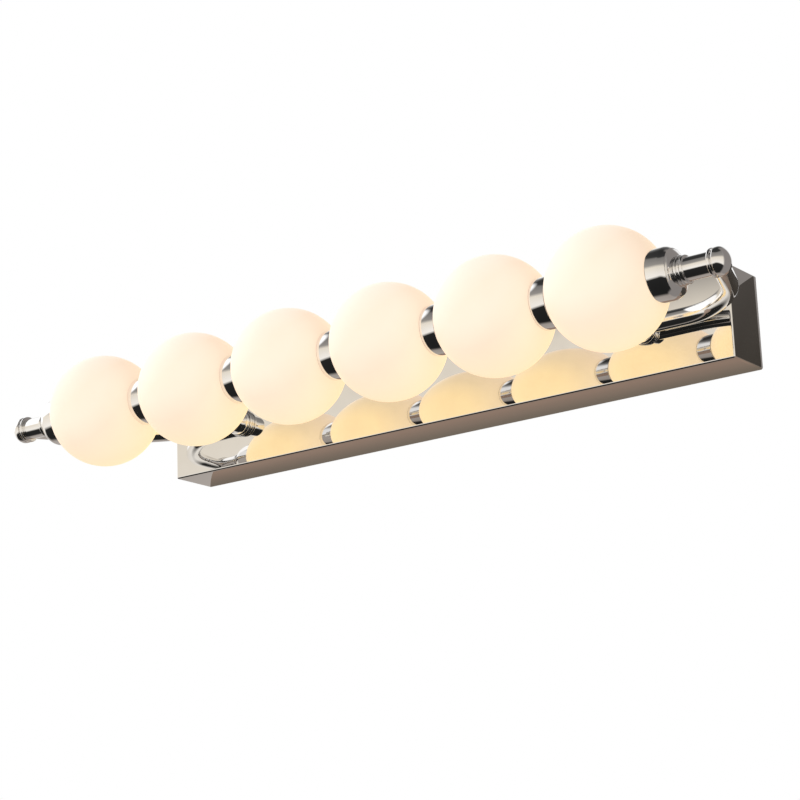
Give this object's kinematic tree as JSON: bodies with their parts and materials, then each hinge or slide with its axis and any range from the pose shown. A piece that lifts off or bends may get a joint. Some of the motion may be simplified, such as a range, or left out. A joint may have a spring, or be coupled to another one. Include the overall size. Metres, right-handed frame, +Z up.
{
  "type": "vanity light bar",
  "caption": "Bathroom vanity light: opal globes strung on a bar with chrome couplings, held in front of a box backplate by swept arms; the bar turns about its own axis.",
  "frame": {"origin": "on the wall plane, behind the middle of the backplate, at the middle of the wall-box screw slots", "axes": "+X along the bar to the right of somebody facing the wall, +Y into the wall, +Z up; the bar and its globes are on the -Y side"},
  "size_m": [0.7452, 0.237, 0.1],
  "materials": {
    "opal_glass": "polished, opal, lit warm white",
    "chrome": "polished",
    "mirror_steel": "mirror polished",
    "steel": "drawn",
    "zinc_steel": "zinc plated",
    "core_aluminium": "extruded",
    "led_board": "white solder mask",
    "silicone": "matte",
    "bush_nylon": "turned",
    "ground_brass": "green coated",
    "driver_case": "moulded",
    "terminal_plastic": "moulded",
    "plug_plastic": "moulded",
    "lead_pvc": "smooth"
  },
  "bodies": {
    "mount": {"wall_bracket": "zinc_steel", "backplate": "mirror_steel", "cover_screws": "chrome", "led_driver": "driver_case", "driver_screws": "zinc_steel", "terminal_block": "terminal_plastic", "ground_screw": "ground_brass", "input_leads": "lead_pvc", "arm_lead": "lead_pvc", "nipple_washers": "zinc_steel", "nipple_nuts": "zinc_steel", "hub_grub_screws": "steel", "stop_pin": "steel", "left_nipple": "zinc_steel", "right_nipple": "zinc_steel", "left_foot_ring": "chrome", "right_foot_ring": "chrome", "left_foot": "chrome", "right_foot": "chrome", "left_arm": "chrome", "right_arm": "chrome", "left_end_hub": "chrome", "right_end_hub": "chrome", "left_spindle": "chrome", "right_spindle": "chrome"},
    "light_bar": {"globe_1": "opal_glass", "globe_2": "opal_glass", "globe_3": "opal_glass", "globe_4": "opal_glass", "globe_5": "opal_glass", "globe_6": "opal_glass", "globe_gaskets": "silicone", "coupling_1": "chrome", "coupling_2": "chrome", "coupling_3": "chrome", "coupling_4": "chrome", "coupling_5": "chrome", "carrier_tube": "steel", "led_core_1": "core_aluminium", "led_core_2": "core_aluminium", "led_core_3": "core_aluminium", "led_core_4": "core_aluminium", "led_core_5": "core_aluminium", "led_core_6": "core_aluminium", "led_boards": "led_board", "left_end_cup": "chrome", "right_end_cup": "chrome", "left_collar": "chrome", "right_collar": "chrome", "left_bush": "bush_nylon", "right_bush": "bush_nylon", "carrier_washers": "zinc_steel", "carrier_nuts": "zinc_steel", "lead_plug": "plug_plastic", "bar_lead": "lead_pvc"}
  },
  "joints": [
    {"name": "bar_turn", "type": "hinge", "parent": "mount", "child": "light_bar", "pos_m": [0, -0.187, -0.007], "axis": [1, 0, 0], "range_deg": [-150, 150]}
  ]
}
